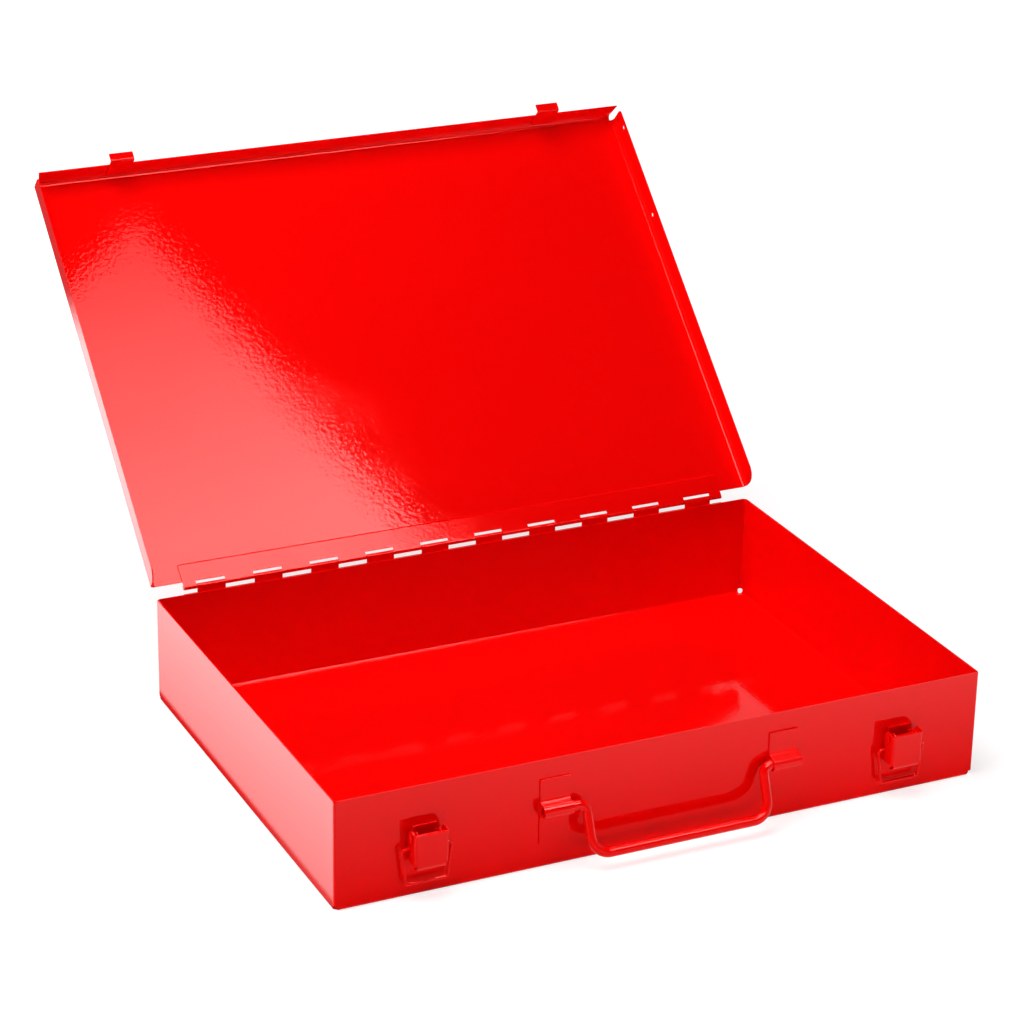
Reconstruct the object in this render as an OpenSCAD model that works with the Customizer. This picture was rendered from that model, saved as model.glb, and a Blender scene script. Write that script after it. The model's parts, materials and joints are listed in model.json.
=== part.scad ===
// Flat portable case in folded sheet steel: an open tray, a shallow lid on a
// full-width piano hinge, two draw latches with wire bails, two keepers on the
// lid's front lip and a drop handle in two strap brackets.
//
// X runs along the width, the front is at -Y and +Z is up. The origin is on
// the resting plane, under the middle of the tray. The lid is drawn open.

/* [Tray] */
// Outside width of the tray, side to side
tray_width = 440; // [300:5:600]
// Outside depth of the tray, front to back
tray_depth = 305; // [200:5:450]
// Height of the tray's walls
tray_height = 73; // [60:1:160]
// Thickness of the sheet steel of the tray and the lid
sheet = 0.9; // [0.6:0.1:1.4]
// Outside radius of the folds along the tray's floor
floor_fold = 2.7; // [1.6:0.1:6]
// Outside radius of the tray's upright corners
corner_radius = 1.5; // [1.4:0.1:4]
// Radius that softens the top of each upright corner
rim_round = 1.2; // [0.8:0.1:5]
// Radius of the relief hole where three folds meet
relief_radius = 1.9; // [1:0.1:3]
// Distance of the relief hole's centre from the outside faces
relief_inset = 1.5; // [1:0.1:3]
// Height of the relief hole above the resting plane
relief_height = 3.6; // [2:0.1:6]

/* [Lid] */
// Angle the lid is drawn open, from closed
lid_open = 137; // [0:1:190]
// Height of the lid's front and side lips, from the outside face
lip_height = 15; // [10:0.5:30]
// Outside radius of the lid's folds
lid_fold = 3.8; // [1.5:0.1:4]
// Gap between a side lip and the tray's side wall when closed
side_gap = 2.1; // [1:0.1:4]
// Gap between the front lip and the tray's front wall when closed
front_gap = 4.3; // [3.5:0.1:6]
// Distance from the hinge line to the panel's back edge
panel_setback = 3.9; // [3:0.1:8]
// Radius of the side lips' rounded back ends
lip_back_round = 9; // [2:0.5:14]
// Radius of the side lips' front tips
lip_tip_round = 2.4; // [0.5:0.1:4]
// Relief notch at the front corners, along the front edge
notch_width = 4; // [2.5:0.1:8]
// Relief notch at the front corners, along the side edge
notch_depth = 4; // [2.5:0.1:8]
// How far the front lip flares out again at its free edge
lip_flare = 2.1; // [0:0.1:2.5]
// Radius of the hanging holes in the right lip
hang_radius = 1.6; // [1:0.1:3]
// Distance of the first hanging hole from the hinge line
hang_far = 295; // [100:1:440]
// Distance of the second hanging hole from the hinge line
hang_near = 223; // [60:1:400]
// Depth of the first hanging hole below the outside face
hang_far_drop = 11; // [5:0.5:20]
// Depth of the second hanging hole below the outside face
hang_near_drop = 7; // [5:0.5:20]

/* [Hinge] */
// Height of the hinge line above the tray's rim
hinge_rise = 4; // [3:0.1:8]
// Distance from the tray's side wall to the end of the piano hinge
hinge_margin = 19.5; // [10:0.5:40]
// Outside radius of the knuckles
knuckle_radius = 1.7; // [1.5:0.1:3]
// Thickness of the two leaves
leaf = 0.8; // [0.5:0.1:1.1]
// Width of a leaf, from the hinge line to its free edge
leaf_width = 16.5; // [10:0.5:30]
// Radius of the hinge pin
pin_radius = 0.8; // [0.6:0.05:0.8]
// Length of a knuckle's place along the hinge
knuckle_length = 20.15; // [12:0.05:30]
// Least part of a knuckle's place left over at each end of the hinge
end_share = 0.4; // [0.3:0.05:0.6]
// Width of the seam where a knuckle's curl ends on its leaf
curl_seam = 0.3; // [0.1:0.05:0.4]
// Gap between neighbouring knuckles
knuckle_gap = 0.35; // [0.3:0.05:1]
// Depth of the slots in the tray's leaf, from the hinge line
slot_depth = 4; // [3:0.1:8]
// Depth of the slots in the lid's leaf, from the hinge line
lid_slot_depth = 3.2; // [3:0.1:8]
// Radial clearance of every pin in its hole
running_fit = 0.05; // [0.02:0.01:0.1]

/* [Latches] */
// Distance of a latch's middle from the tray's side wall
latch_inset = 57.5; // [30:0.5:100]
// Depth of the latch's pivot below the tray's rim
pivot_drop = 30.5; // [28:0.5:40]
// Distance of the pivot in front of the wall
pivot_out = 6.5; // [6:0.1:9]
// Radius of the pivot pin
pivot_radius = 1.5; // [1:0.1:2]
// Radius of the pivot pin's heads
pivot_head = 2.2; // [1.8:0.1:3]
// Thickness of the pivot pin's heads
pivot_head_thickness = 0.8; // [0.5:0.1:1.5]
// Gap between a pin head and the lever's side
head_gap = 0.3; // [0.3:0.05:0.6]
// Outside width of the lever
lever_width = 22; // [18:0.5:30]
// Thickness of the lever's metal
lever_metal = 0.9; // [0.7:0.1:1.2]
// Distance of the lever's face in front of the wall
lever_out = 12; // [11.5:0.1:14]
// Height of the face above the pivot
lever_above = 3.5; // [2.5:0.1:4]
// Length of the face below the pivot
lever_below = 16.8; // [15:0.1:28]
// Radius of the lever's side around the pivot
lever_eye = 4.5; // [3.5:0.1:5]
// Outside radius of the lever's upright edges
lever_edge = 1.8; // [1.4:0.1:3]
// Gap between the wall and the lower back edge of the lever's sides
lever_stand_off = 2.4; // [1.8:0.1:4]
// Outside radius of the finger curl under the lever
curl_radius = 4.2; // [1.5:0.1:5]
// Length of the flat end of the finger curl
curl_flat = 1.6; // [0.5:0.1:4]
// Width of the latch's base plate
plate_width = 15.8; // [14:0.2:19]
// Thickness of the latch's base plate
plate_metal = 1; // [0.6:0.1:1.2]
// Height of the base plate above the pivot
plate_above = 5; // [4.5:0.1:7]
// Length of the base plate below the pivot
plate_below = 17; // [12:0.5:20]
// Radius of the base plate's ears around the pivot
ear_radius = 3.4; // [2.8:0.1:4]
// Length of each ear's root on the plate, below the pivot
ear_root = 9; // [6:0.5:12]

/* [Bails] */
// Radius of the bail's wire
wire_radius = 1; // [0.8:0.1:1.2]
// Distance from the bail's hinge line to the middle of its bar
bail_length = 23.3; // [22.8:0.1:24]
// Distance of the bail's hinge line in front of the wall
bail_out = 4; // [3.6:0.1:5]
// Distance of the bail's hinge line below the pivot
bail_drop = 8.3; // [7.5:0.1:10]
// Least gap between the hanging bail and the resting plane
bail_clear = 0.6; // [0.3:0.1:2]
// Half distance between the bail's arms at its hinge line
bail_half_top = 16.2; // [13.5:0.1:18]
// Half distance between the bail's arms at its bar
bail_half_bar = 13.3; // [12.6:0.1:18]
// Bend radius of the wire, on its centre line
wire_bend = 2; // [1.5:0.1:4]
// How far the wire's ends reach inside the lever's sides
wire_reach = 0.7; // [0.3:0.1:1]

/* [Keepers] */
// Width of a keeper
keeper_width = 17; // [12:0.5:24]
// Thickness of a keeper
keeper_metal = 1.2; // [0.8:0.1:1.5]
// Length of the keeper on the lip
keeper_overlap = 11; // [6:0.5:12]
// Distance from the lip's free edge to the underside of the foot
keeper_reach = 7.1; // [7:0.1:7.4]
// Length of the foot in front of the lip's inside face
keeper_foot = 5.3; // [4.6:0.1:7]
// Outside radius of the keeper's bend
keeper_bend = 1.7; // [1.5:0.1:2.5]

/* [Handle] */
// Radius of the handle's rod
rod_radius = 3.175; // [2.5:0.025:4]
// Gap between a bracket's loop and the tray's front wall
strap_clear = 0.2; // [0.1:0.05:0.8]
// Height of the handle's hinge line above the resting plane
handle_height = 40.7; // [36:0.1:80]
// Distance from the handle's hinge line to the middle of the grip
handle_drop = 31.9; // [26:0.1:34]
// Angle of the hanging handle out from the wall
handle_tilt = 22; // [0:1:60]
// Lean of the handle's arms towards its middle
arm_lean = 0.5; // [0:0.5:20]
// Bend radius beside the brackets, on the rod's centre line
arm_bend = 5.5; // [4:0.1:9]
// Bend radius at the grip, on the rod's centre line
grip_bend = 11.5; // [5:0.1:14]
// Least gap between a bracket and the bend beside it
arm_gap = 0.4; // [0.3:0.1:6]
// How far the handle has slid to the right in its brackets
handle_play = 1.7; // [0:0.1:3]
// Width of a strap bracket
strap_width = 19.8; // [14:0.2:30]
// Thickness of a strap bracket
strap_metal = 1.2; // [0.8:0.1:1.5]
// Half distance between the middles of the two brackets
strap_offset = 78.2; // [70:0.1:110]
// Distance of the brackets' common middle to the right of the case's middle
strap_shift = 0.7; // [0:0.1:3]
// Length of the strap above the handle's hinge line
strap_above = 19.8; // [12:0.1:20]
// Length of the strap below the handle's hinge line
strap_below = 23.7; // [12:0.1:30]
// Radius of the hollow bend between the loop and the flat strap
strap_bend = 2.5; // [1:0.1:4]
// How much the rods and wires swell at a bend
bend_swell = 0.02; // [0.02:0.01:0.05]
// How far the rod's ends stop short of the loops' outer ends
rod_short = 0.8; // [0.2:0.1:3]

/* [Hidden] */
$fn = 64;
over = 1;
front_face = -tray_depth / 2;
hinge_y = tray_depth / 2 + knuckle_radius;
hinge_z = tray_height + hinge_rise;
hinge_length = tray_width - 2 * hinge_margin;
base_knuckles = floor((hinge_length / knuckle_length + 1 - 2 * end_share) / 2);
inner_knuckles = base_knuckles - 1;
end_knuckle = (hinge_length - (base_knuckles + inner_knuckles) * knuckle_length) / 2;
panel_top = leaf - knuckle_radius + sheet;
lid_half = tray_width / 2 + side_gap + sheet;
lid_front = hinge_y - front_face + front_gap + sheet;
latch_x = tray_width / 2 - latch_inset;
latch_lift = max(0, bail_drop + bail_length + wire_radius + bail_clear - tray_height + pivot_drop);
pivot_z = tray_height - pivot_drop + latch_lift;
keeper_below = keeper_reach - latch_lift;
lever_back = pivot_out - lever_eye;
lever_top = pivot_z + lever_above;
lever_foot = pivot_z - lever_below;
bail_z = pivot_z - bail_drop;
wire_end = lever_width / 2 - lever_metal - wire_reach;
strap_loop = rod_radius + running_fit + strap_metal;
rod_out = strap_loop + strap_clear;
arm_top = strap_offset - strap_width / 2 - arm_gap - handle_play - arm_bend;
grip_half = arm_top - handle_drop * tan(arm_lean);
run_lap = 0.1;
rod_end = strap_offset + strap_width / 2 - rod_short;
sides = [-1, 1];
paint = [0.78, 0.02, 0.02];
paint_hinge = [0.72, 0.02, 0.02];
paint_fitting = [0.75, 0.03, 0.03];

// ---- Helpers: profiles and where they go ----

// Carries a profile drawn as (depth, height) along X.
module along_x(length) {
    rotate([90, 0, 90])
        linear_extrude(length, center = true)
            children();
}

// Carries a profile drawn as (distance outwards, height) along X, outwards being -Y.
module outwards(length) {
    rotate([90, 0, -90])
        linear_extrude(length, center = true)
            children();
}

// The same, measured from the tray's front wall.
module on_wall(length) {
    translate([0, front_face, 0])
        outwards(length)
            children();
}

// A round bar along X.
module bar_x(radius, length) {
    rotate([0, 90, 0])
        cylinder(r = radius, h = length, center = true);
}

// Puts what is drawn closed, with the hinge line as its X axis, on the open lid.
module on_lid() {
    translate([0, hinge_y, hinge_z])
        rotate([-lid_open, 0, 0])
            children();
}

// Puts what is drawn around the origin on a latch's pivot line.
module at_pivot() {
    translate([0, front_face - pivot_out, pivot_z])
        children();
}

// Puts what is drawn around the origin on a bail's hinge line.
module at_bail_line() {
    translate([0, front_face - bail_out, bail_z])
        children();
}

// An upright rectangle with its two lower corners rounded.
module trough_profile(width, height, radius) {
    translate([-width / 2, radius])
        square([width, height - radius]);
    translate([radius - width / 2, 0])
        square([width - 2 * radius, height]);
    for (side = sides)
        translate([side * (width / 2 - radius), radius])
            circle(radius);
}

// A rectangle in plan with four rounded corners.
module round_plan(width, depth, radius) {
    square([width - 2 * radius, depth], center = true);
    square([width, depth - 2 * radius], center = true);
    for (x = sides, y = sides)
        translate([x * (width / 2 - radius), y * (depth / 2 - radius)])
            circle(radius);
}

// The corner that a rounding of the given radius takes off, pointing to +X and +Y.
module corner_waste(radius) {
    difference() {
        square(radius + over);
        circle(radius);
    }
}

// ---- Tray ----

// A block with rounded lower folds and rounded upright corners.
module folded_block(width, depth, height, fold, corner) {
    intersection() {
        rotate([90, 0, 0])
            linear_extrude(depth, center = true)
                trough_profile(width, height, fold);
        along_x(width)
            trough_profile(depth, height, fold);
        linear_extrude(height)
            round_plan(width, depth, corner);
    }
}

// What softens the top of the upright corner that points to +X.
module rim_waste() {
    corner_cut = corner_radius * (sqrt(2) - 1);
    translate([-corner_cut - rim_round, 0, -rim_round])
        rotate([90, 0, 0])
            linear_extrude(2 * (corner_radius + rim_round) + over, center = true)
                corner_waste(rim_round);
}

module base_tray() {
    color(paint)
        difference() {
            folded_block(tray_width, tray_depth, tray_height, floor_fold, corner_radius);
            translate([0, 0, sheet])
                folded_block(
                    tray_width - 2 * sheet,
                    tray_depth - 2 * sheet,
                    tray_height,
                    floor_fold - sheet,
                    corner_radius - sheet
                );
            for (x = sides, y = sides) {
                translate([x * (tray_width / 2 - relief_inset), y * (tray_depth / 2 - relief_inset), -over])
                    cylinder(r = relief_radius, h = relief_height + over);
                translate([x * tray_width / 2, y * tray_depth / 2, tray_height])
                    rotate([0, 0, atan2(y, x)])
                        rim_waste();
            }
        }
}

// ---- Lid, drawn closed with the hinge line as its X axis and the panel's top at z = 0 ----

// The lid's side view: open at the back, one rounded fold at the front.
module lid_side_profile(front, back, height, fold) {
    translate([-front, -height])
        square([front - back, height - fold]);
    translate([fold - front, -height])
        square([front - back - fold, height]);
    translate([fold - front, -fold])
        circle(fold);
}

// A solid cover with lips on three sides.
module cover_block(half, front, back, height, fold) {
    intersection() {
        translate([0, -back, 0])
            rotate([90, 0, 0])
                linear_extrude(front - back)
                    mirror([0, 1])
                        trough_profile(2 * half, height, fold);
        along_x(2 * half)
            lid_side_profile(front, back, height, fold);
    }
}

// The relief notch at a front corner, which also frees the end of the front lip.
module corner_notch() {
    translate([lid_half, notch_depth - lid_front, 0])
        rotate([90, 0, 0])
            linear_extrude(notch_depth + over)
                polygon([
                    [over, over],
                    [-notch_width, over],
                    [-notch_width, -lid_fold],
                    [lip_flare - notch_width, -lip_height],
                    [lip_flare - notch_width, -lip_height - over],
                    [over, -lip_height - over]
                ]);
}

module lid() {
    tip = lid_front - notch_depth;
    color(paint)
        on_lid()
            translate([0, 0, panel_top])
                difference() {
                    cover_block(lid_half, lid_front, panel_setback, lip_height, lid_fold);
                    translate([0, 0, -sheet])
                        cover_block(
                            lid_half - sheet,
                            lid_front - sheet,
                            panel_setback - over,
                            lip_height,
                            lid_fold - sheet
                        );
                    corner_notch();
                    mirror([1, 0, 0])
                        corner_notch();
                    // rounded back ends of the side lips
                    along_x(2 * (lid_half + over))
                        translate([-panel_setback - lip_back_round, lip_back_round - lip_height])
                            mirror([0, 1])
                                corner_waste(lip_back_round);
                    // rounded front tips of the side lips
                    along_x(2 * (lid_half + over))
                        translate([lip_tip_round - tip, lip_tip_round - lip_height])
                            rotate(180)
                                corner_waste(lip_tip_round);
                    translate([lid_half, -hang_far, -hang_far_drop])
                        bar_x(hang_radius, 4 * sheet);
                    translate([lid_half, -hang_near, -hang_near_drop])
                        bar_x(hang_radius, 4 * sheet);
                }
}

// ---- Piano hinge ----

// One leaf with its curled knuckles. It lies towards -Y under the hinge line.
// Each knuckle is given as [middle, length], and slots reach the given depth.
module hinge_leaf(knuckles, depth) {
    difference() {
        union() {
            translate([-hinge_length / 2, -leaf_width, -knuckle_radius])
                cube([hinge_length, leaf_width - depth, leaf]);
            for (knuckle = knuckles)
                translate([knuckle[0], 0, 0]) {
                    bar_x(knuckle_radius, knuckle[1]);
                    translate([-knuckle[1] / 2, -depth - over, -knuckle_radius])
                        cube([knuckle[1], depth + over, leaf]);
                }
        }
        bar_x(pin_radius + running_fit, hinge_length + over);
        translate([-hinge_length / 2 - over, -depth + over, leaf - knuckle_radius])
            cube([hinge_length + 2 * over, depth - over - pin_radius / 2, curl_seam]);
    }
}

base_places = [
    for (i = [0 : base_knuckles - 1])
        [(2 * i - inner_knuckles) * knuckle_length, knuckle_length - knuckle_gap]
];
lid_inner_places = [
    for (i = [1 : inner_knuckles])
        [(2 * i - base_knuckles) * knuckle_length, knuckle_length - knuckle_gap]
];
lid_end_places = [
    for (side = sides)
        [side * (hinge_length - end_knuckle + knuckle_gap / 2) / 2, end_knuckle - knuckle_gap / 2]
];

module hinge_base_leaf() {
    color(paint_hinge)
        translate([0, hinge_y, hinge_z])
            mirror([0, 1, -1])
                hinge_leaf(base_places, slot_depth);
}

module hinge_lid_leaf() {
    color(paint_hinge)
        on_lid()
            hinge_leaf(concat(lid_inner_places, lid_end_places), lid_slot_depth);
}

module hinge_pin() {
    color(paint_hinge)
        translate([0, hinge_y, hinge_z])
            bar_x(pin_radius, hinge_length);
}

// ---- Keepers, on the inside of the lid's front lip ----

// A leg up and a foot outwards, with a rounded bend between them.
module bent_leg_profile(rise, foot, metal, bend) {
    translate([0, bend])
        square([metal, rise - bend]);
    translate([bend, 0])
        square([foot - bend, metal]);
    intersection() {
        square(bend);
        translate([bend, bend])
            difference() {
                circle(bend);
                circle(bend - metal);
            }
    }
}

module keeper(x) {
    color(paint_fitting)
        on_lid()
            translate([x, sheet + keeper_metal - lid_front, panel_top - lip_height - keeper_below])
                outwards(keeper_width)
                    bent_leg_profile(
                        keeper_below + keeper_overlap,
                        keeper_metal + keeper_foot,
                        keeper_metal,
                        keeper_bend
                    );
}

module keeper_left() { keeper(-latch_x); }
module keeper_right() { keeper(latch_x); }

// ---- Draw latches ----

// The side view of an ear that carries the pivot.
module ear_profile() {
    translate([pivot_out, pivot_z])
        circle(ear_radius);
    polygon([
        [plate_metal / 2, pivot_z],
        [pivot_out, pivot_z + ear_radius],
        [pivot_out, pivot_z - ear_radius],
        [plate_metal / 2, pivot_z - ear_root]
    ]);
}

module latch_plate(x) {
    color(paint_fitting)
        translate([x, 0, 0])
            difference() {
                union() {
                    on_wall(plate_width)
                        translate([0, pivot_z - plate_below])
                            square([plate_metal, plate_below + plate_above]);
                    for (side = sides)
                        translate([side * (plate_width - plate_metal) / 2, 0, 0])
                            on_wall(plate_metal)
                                ear_profile();
                }
                at_pivot()
                    bar_x(pivot_radius + running_fit, plate_width + over);
            }
}

module latch_pin(x) {
    color(paint_fitting)
        translate([x, 0, 0])
            at_pivot() {
                head_x = lever_width / 2 + head_gap + pivot_head_thickness / 2;
                bar_x(pivot_radius, 2 * head_x);
                for (side = sides)
                    translate([side * head_x, 0, 0])
                        bar_x(pivot_head, pivot_head_thickness);
            }
}

// The lever in plan: a block with rounded front edges, its back on the wall.
module lever_plan(half, out, edge) {
    translate([-half, edge - out])
        square([2 * half, out - edge]);
    translate([edge - half, -out])
        square([2 * (half - edge), out]);
    for (side = sides)
        translate([side * (half - edge), edge - out])
            circle(edge);
}

// The lever's side view.
module lever_side_profile() {
    translate([pivot_out, pivot_z])
        circle(lever_eye);
    polygon([
        [lever_out, lever_top],
        [lever_out, lever_foot],
        [lever_stand_off, lever_foot],
        [lever_back, pivot_z],
        [pivot_out, pivot_z + lever_eye]
    ]);
}

// The side view of the finger curl, which turns under the lever's face.
module curl_profile() {
    translate([lever_out - curl_radius, lever_foot]) {
        intersection() {
            translate([0, -curl_radius])
                square(curl_radius);
            difference() {
                circle(curl_radius);
                circle(curl_radius - lever_metal);
            }
        }
        translate([-curl_flat, -curl_radius])
            square([curl_flat, lever_metal]);
    }
}

module latch_lever(x) {
    color(paint_fitting)
        translate([x, 0, 0])
            difference() {
                union() {
                    intersection() {
                        translate([0, front_face, lever_foot])
                            linear_extrude(lever_below + lever_above + lever_eye)
                                difference() {
                                    lever_plan(lever_width / 2, lever_out, lever_edge);
                                    lever_plan(
                                        lever_width / 2 - lever_metal,
                                        lever_out - lever_metal,
                                        lever_edge - lever_metal
                                    );
                                }
                        on_wall(lever_width + over)
                            lever_side_profile();
                    }
                    on_wall(lever_width - 2 * lever_edge)
                        curl_profile();
                }
                at_pivot()
                    bar_x(pivot_radius + running_fit, lever_width + over);
                at_bail_line()
                    bar_x(wire_radius + running_fit, lever_width + over);
            }
}

// ---- Bent rods ----

function heading(v) = atan2(v[1], v[0]);
function turn(path, i) = heading(path[i + 1] - path[i]) - heading(path[i] - path[i - 1]);
function short_turn(a) = a > 180 ? a - 360 : a < -180 ? a + 360 : a;
function bend_turn(path, i) = short_turn(turn(path, i));
function tangent(path, bends, i) = bends[i] * tan(abs(bend_turn(path, i)) / 2);
function unit(angle) = [cos(angle), sin(angle)];

// A round rod along a flat path of straight runs. Each corner has a bend radius.
// The runs reach a little way into the bends, which are thicker by bend_swell.
module bent_rod(path, bends, radius) {
    last = len(path) - 1;
    for (i = [0 : last - 1]) {
        run = path[i + 1] - path[i];
        from = i == 0 ? 0 : tangent(path, bends, i) - run_lap;
        to = norm(run) - (i + 1 == last ? 0 : tangent(path, bends, i + 1) - run_lap);
        translate(path[i])
            rotate([0, 0, heading(run)])
                translate([from, 0, 0])
                    rotate([0, 90, 0])
                        cylinder(r = radius, h = to - from);
    }
    for (i = [1 : last - 1]) {
        angle = bend_turn(path, i);
        way = angle > 0 ? 1 : -1;
        into = heading(path[i] - path[i - 1]);
        start = path[i] - tangent(path, bends, i) * unit(into);
        translate(start + bends[i] * unit(into + way * 90))
            rotate([0, 0, into - way * 90 + min(angle, 0)])
                rotate_extrude(angle = abs(angle))
                    translate([bends[i], 0])
                        circle(radius + bend_swell);
    }
}

module latch_bail(x) {
    path = [
        [wire_end, 0],
        [bail_half_top, 0],
        [bail_half_bar, -bail_length],
        [-bail_half_bar, -bail_length],
        [-bail_half_top, 0],
        [-wire_end, 0]
    ];
    color(paint_fitting)
        translate([x, 0, 0])
            at_bail_line()
                rotate([90, 0, 0])
                    bent_rod(path, [for (point = path) wire_bend], wire_radius);
}

module latch_plate_left() { latch_plate(-latch_x); }
module latch_plate_right() { latch_plate(latch_x); }
module latch_pin_left() { latch_pin(-latch_x); }
module latch_pin_right() { latch_pin(latch_x); }
module latch_lever_left() { latch_lever(-latch_x); }
module latch_lever_right() { latch_lever(latch_x); }
module latch_bail_left() { latch_bail(-latch_x); }
module latch_bail_right() { latch_bail(latch_x); }

// ---- Handle ----

module carry_handle() {
    path = [
        [rod_end, 0],
        [arm_top, 0],
        [grip_half, -handle_drop],
        [-grip_half, -handle_drop],
        [-arm_top, 0],
        [-rod_end, 0]
    ];
    bends = [0, arm_bend, grip_bend, grip_bend, arm_bend, 0];
    color(paint_fitting)
        translate([strap_shift + handle_play, front_face - rod_out, handle_height])
            rotate([90 - handle_tilt, 0, 0])
                bent_rod(path, bends, rod_radius);
}

// The side view of the metal that joins a strap's loop to its flat lengths by a hollow bend.
module strap_root_profile() {
    bend_out = strap_metal + strap_bend;
    bend_up = sqrt((strap_loop + strap_bend) ^ 2 - (rod_out - bend_out) ^ 2);
    difference() {
        polygon([
            [strap_metal / 2, bend_up],
            [bend_out, bend_up],
            [rod_out, 0],
            [bend_out, -bend_up],
            [strap_metal / 2, -bend_up]
        ]);
        for (side = sides)
            translate([bend_out, side * bend_up])
                circle(strap_bend);
    }
}

module handle_bracket(x) {
    color(paint_fitting)
        translate([x, 0, handle_height])
            difference() {
                union() {
                    on_wall(strap_width)
                        translate([0, -strap_below])
                            square([strap_metal, strap_below + strap_above]);
                    on_wall(strap_width)
                        strap_root_profile();
                    translate([0, front_face - rod_out, 0])
                        bar_x(strap_loop, strap_width);
                }
                translate([0, front_face - rod_out, 0])
                    bar_x(rod_radius + running_fit, strap_width + over);
            }
}

module handle_bracket_left() { handle_bracket(strap_shift - strap_offset); }
module handle_bracket_right() { handle_bracket(strap_shift + strap_offset); }

base_tray();
lid();
hinge_base_leaf();
hinge_lid_leaf();
hinge_pin();
keeper_left();
keeper_right();
latch_plate_left();
latch_plate_right();
latch_pin_left();
latch_pin_right();
latch_lever_left();
latch_lever_right();
latch_bail_left();
latch_bail_right();
carry_handle();
handle_bracket_left();
handle_bracket_right();
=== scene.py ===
"""Looks for a flat sheet-steel case with an open lid, two draw latches and a drop handle.

Every length is in metres in the shared frame: X along the width, the front at -Y, +Z up.
"""

import sys

import json
import logging
import math
from dataclasses import dataclass
from enum import Enum
from typing import Iterable, Sequence

import bmesh
import bpy
from mathutils import Matrix, Vector

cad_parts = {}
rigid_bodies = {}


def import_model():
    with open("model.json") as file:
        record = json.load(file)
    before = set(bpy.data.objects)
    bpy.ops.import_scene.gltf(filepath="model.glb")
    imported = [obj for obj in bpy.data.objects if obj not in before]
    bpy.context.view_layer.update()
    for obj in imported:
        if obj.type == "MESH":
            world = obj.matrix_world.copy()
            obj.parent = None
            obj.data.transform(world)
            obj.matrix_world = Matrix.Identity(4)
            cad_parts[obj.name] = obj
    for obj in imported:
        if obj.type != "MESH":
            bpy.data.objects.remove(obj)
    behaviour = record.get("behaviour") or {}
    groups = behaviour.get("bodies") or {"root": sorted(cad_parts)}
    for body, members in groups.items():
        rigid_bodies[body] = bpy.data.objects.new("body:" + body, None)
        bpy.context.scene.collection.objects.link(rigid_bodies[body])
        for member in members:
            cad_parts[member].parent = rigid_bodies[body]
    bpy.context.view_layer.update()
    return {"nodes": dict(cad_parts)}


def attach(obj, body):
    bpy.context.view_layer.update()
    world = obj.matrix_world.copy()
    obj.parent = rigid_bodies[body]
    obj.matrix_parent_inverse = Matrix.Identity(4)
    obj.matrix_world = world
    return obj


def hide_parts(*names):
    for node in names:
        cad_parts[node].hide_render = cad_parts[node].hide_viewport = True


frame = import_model()

log = logging.getLogger("case")
MM = 0.001
WHITE = (1.0, 1.0, 1.0, 1.0)
Pair = tuple[float, float]
Point = tuple[float, float, float]
Colour = tuple[float, float, float]
Outline = Sequence[Pair]


class Side(Enum):
    """Left and right as seen from the front, with the sign of X."""

    LEFT = -1
    RIGHT = 1

    @property
    def label(self) -> str:
        """The side's name inside a piece's name."""
        return self.name.lower()


class Ray(Enum):
    """Kinds of light path, by the name of their socket."""

    CAMERA = "Is Camera Ray"
    GLOSSY = "Is Glossy Ray"


class Blend(Enum):
    """How a fade runs between its ends."""

    STRAIGHT = "LINEAR"
    SMOOTH = "SMOOTHSTEP"


class Slot(Enum):
    """The record's material slots."""

    CASE = "case_paint"
    HINGE = "hinge_paint"
    FITTING = "fitting_paint"
    HANDLE = "handle_paint"


# ---- Node graphs ----


@dataclass(frozen=True)
class Fade:
    """A change of one number over a range of another.

    Attributes:
        places: Where the range starts and ends.
        results: What it gives there and beyond.
        blend: How it runs between them.
    """

    places: Pair
    results: Pair
    blend: Blend = Blend.STRAIGHT


class Value:
    """A node socket that Python expressions can work on."""

    def __init__(self, graph: "Graph", socket: bpy.types.NodeSocket) -> None:
        """Wraps a socket.

        Args:
            graph: The graph the socket belongs to.
            socket: An output socket.
        """
        self.graph = graph
        self.socket = socket

    def _math(self, operation: str, first: "Value | float", second: "Value | float") -> "Value":
        """Adds one Math node and returns its result."""
        node = self.graph.node("ShaderNodeMath", {"operation": operation}, {0: first, 1: second})
        return Value(self.graph, node.outputs[0])

    def __add__(self, other: "Value | float") -> "Value":
        """The sum."""
        return self._math("ADD", self, other)

    __radd__ = __add__

    def __sub__(self, other: "Value | float") -> "Value":
        """The difference."""
        return self._math("SUBTRACT", self, other)

    def __rsub__(self, other: float) -> "Value":
        """The difference, reflected."""
        return self._math("SUBTRACT", other, self)

    def __mul__(self, other: "Value | float") -> "Value":
        """The product."""
        return self._math("MULTIPLY", self, other)

    __rmul__ = __mul__

    def larger(self, other: "Value | float") -> "Value":
        """The larger of the two."""
        return self._math("MAXIMUM", self, other)

    def fade(self, over: Fade) -> "Value":
        """Turns this number into another.

        Args:
            over: The fade that gives the result.

        Returns:
            The result.
        """
        settings = {"clamp": True, "interpolation_type": over.blend.value}
        return self.graph.value("ShaderNodeMapRange", "Result", settings, {
            "Value": self, "From Min": over.places[0], "From Max": over.places[1],
            "To Min": over.results[0], "To Max": over.results[1],
        })


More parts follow.
